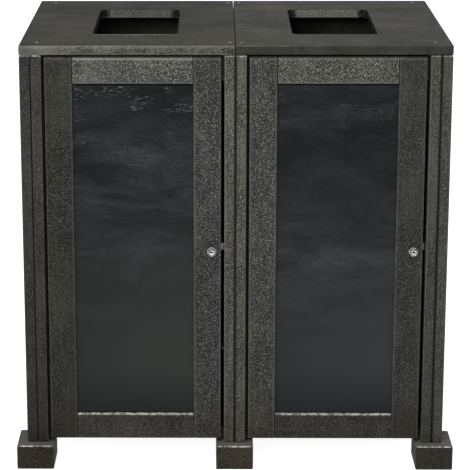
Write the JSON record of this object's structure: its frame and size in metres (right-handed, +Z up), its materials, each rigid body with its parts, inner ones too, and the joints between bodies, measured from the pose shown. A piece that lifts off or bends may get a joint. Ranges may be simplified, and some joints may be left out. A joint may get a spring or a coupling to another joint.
{
  "type": "recycling station",
  "caption": "Freestanding waste-sorting station in recycled plastic lumber: joined cabinets with a drop hole in each top, framed front doors with cam locks, and lift-out liners.",
  "frame": {"origin": "on the floor, under the middle of the station's footprint", "axes": "+X to the right seen from the front, +Y from the doors to the back, +Z up"},
  "size_m": [1.046, 0.694, 1.03],
  "materials": {
    "sheet": "moulded charcoal sheet, fine grain",
    "lumber": "extruded charcoal recycled plastic, scuffed along its length",
    "foot_lumber": "extruded dark recycled plastic",
    "window": "gloss sheet, dark",
    "backing": "matt black board",
    "liner": "moulded dark grey, satin",
    "hinge_steel": "black coated steel",
    "chrome": "bright plated",
    "zinc": "zinc plated"
  },
  "bodies": {
    "cabinets": {"left_top_panel": "sheet", "right_top_panel": "sheet", "left_end_panel": "lumber", "right_end_panel": "lumber", "left_outer_wall": "lumber", "left_inner_wall": "lumber", "right_inner_wall": "lumber", "right_outer_wall": "lumber", "left_floor_panel": "sheet", "right_floor_panel": "sheet", "left_back_panel": "sheet", "right_back_panel": "sheet", "left_head_rail": "lumber", "right_head_rail": "lumber", "front_left_foot": "foot_lumber", "front_centre_foot": "foot_lumber", "front_right_foot": "foot_lumber", "rear_left_foot": "foot_lumber", "rear_centre_foot": "foot_lumber", "rear_right_foot": "foot_lumber", "left_liner": "liner", "right_liner": "liner", "left_keeper": "zinc", "right_keeper": "zinc", "left_wall_hinge_leaf": "hinge_steel", "right_wall_hinge_leaf": "hinge_steel", "left_hinge_pin": "hinge_steel", "right_hinge_pin": "hinge_steel", "left_top_screw_front_outer": "zinc", "left_top_screw_front_inner": "zinc", "left_top_screw_rear_outer": "zinc", "left_top_screw_rear_inner": "zinc", "right_top_screw_front_outer": "zinc", "right_top_screw_front_inner": "zinc", "right_top_screw_rear_outer": "zinc", "right_top_screw_rear_inner": "zinc"},
    "left_door": {"left_door_hinge_stile": "lumber", "left_door_lock_stile": "lumber", "left_door_top_rail": "lumber", "left_door_bottom_rail": "lumber", "left_door_window": "window", "left_door_backing_board": "backing", "left_door_hinge_leaf": "hinge_steel", "left_lock_housing": "chrome", "left_lock_nut": "zinc"},
    "right_door": {"right_door_hinge_stile": "lumber", "right_door_lock_stile": "lumber", "right_door_top_rail": "lumber", "right_door_bottom_rail": "lumber", "right_door_window": "window", "right_door_backing_board": "backing", "right_door_hinge_leaf": "hinge_steel", "right_lock_housing": "chrome", "right_lock_nut": "zinc"},
    "left_lock": {"left_lock_plug": "chrome", "left_lock_cam": "zinc"},
    "right_lock": {"right_lock_plug": "chrome", "right_lock_cam": "zinc"}
  },
  "joints": [
    {"name": "left_door_hinge", "type": "hinge", "parent": "cabinets", "child": "left_door", "pos_m": [-0.44465, -0.3215, 0.538], "axis": [0, 0, -1], "range_deg": [0, 110]},
    {"name": "right_door_hinge", "type": "hinge", "parent": "cabinets", "child": "right_door", "pos_m": [0.0288, -0.3215, 0.538], "axis": [0, 0, -1], "range_deg": [0, 110]},
    {"name": "left_lock_turn", "type": "hinge", "parent": "left_door", "child": "left_lock", "pos_m": [-0.05505, -0.323, 0.54], "axis": [0, -1, 0], "range_deg": [0, 90]},
    {"name": "right_lock_turn", "type": "hinge", "parent": "right_door", "child": "right_lock", "pos_m": [0.4184, -0.323, 0.54], "axis": [0, -1, 0], "range_deg": [0, 90]}
  ]
}
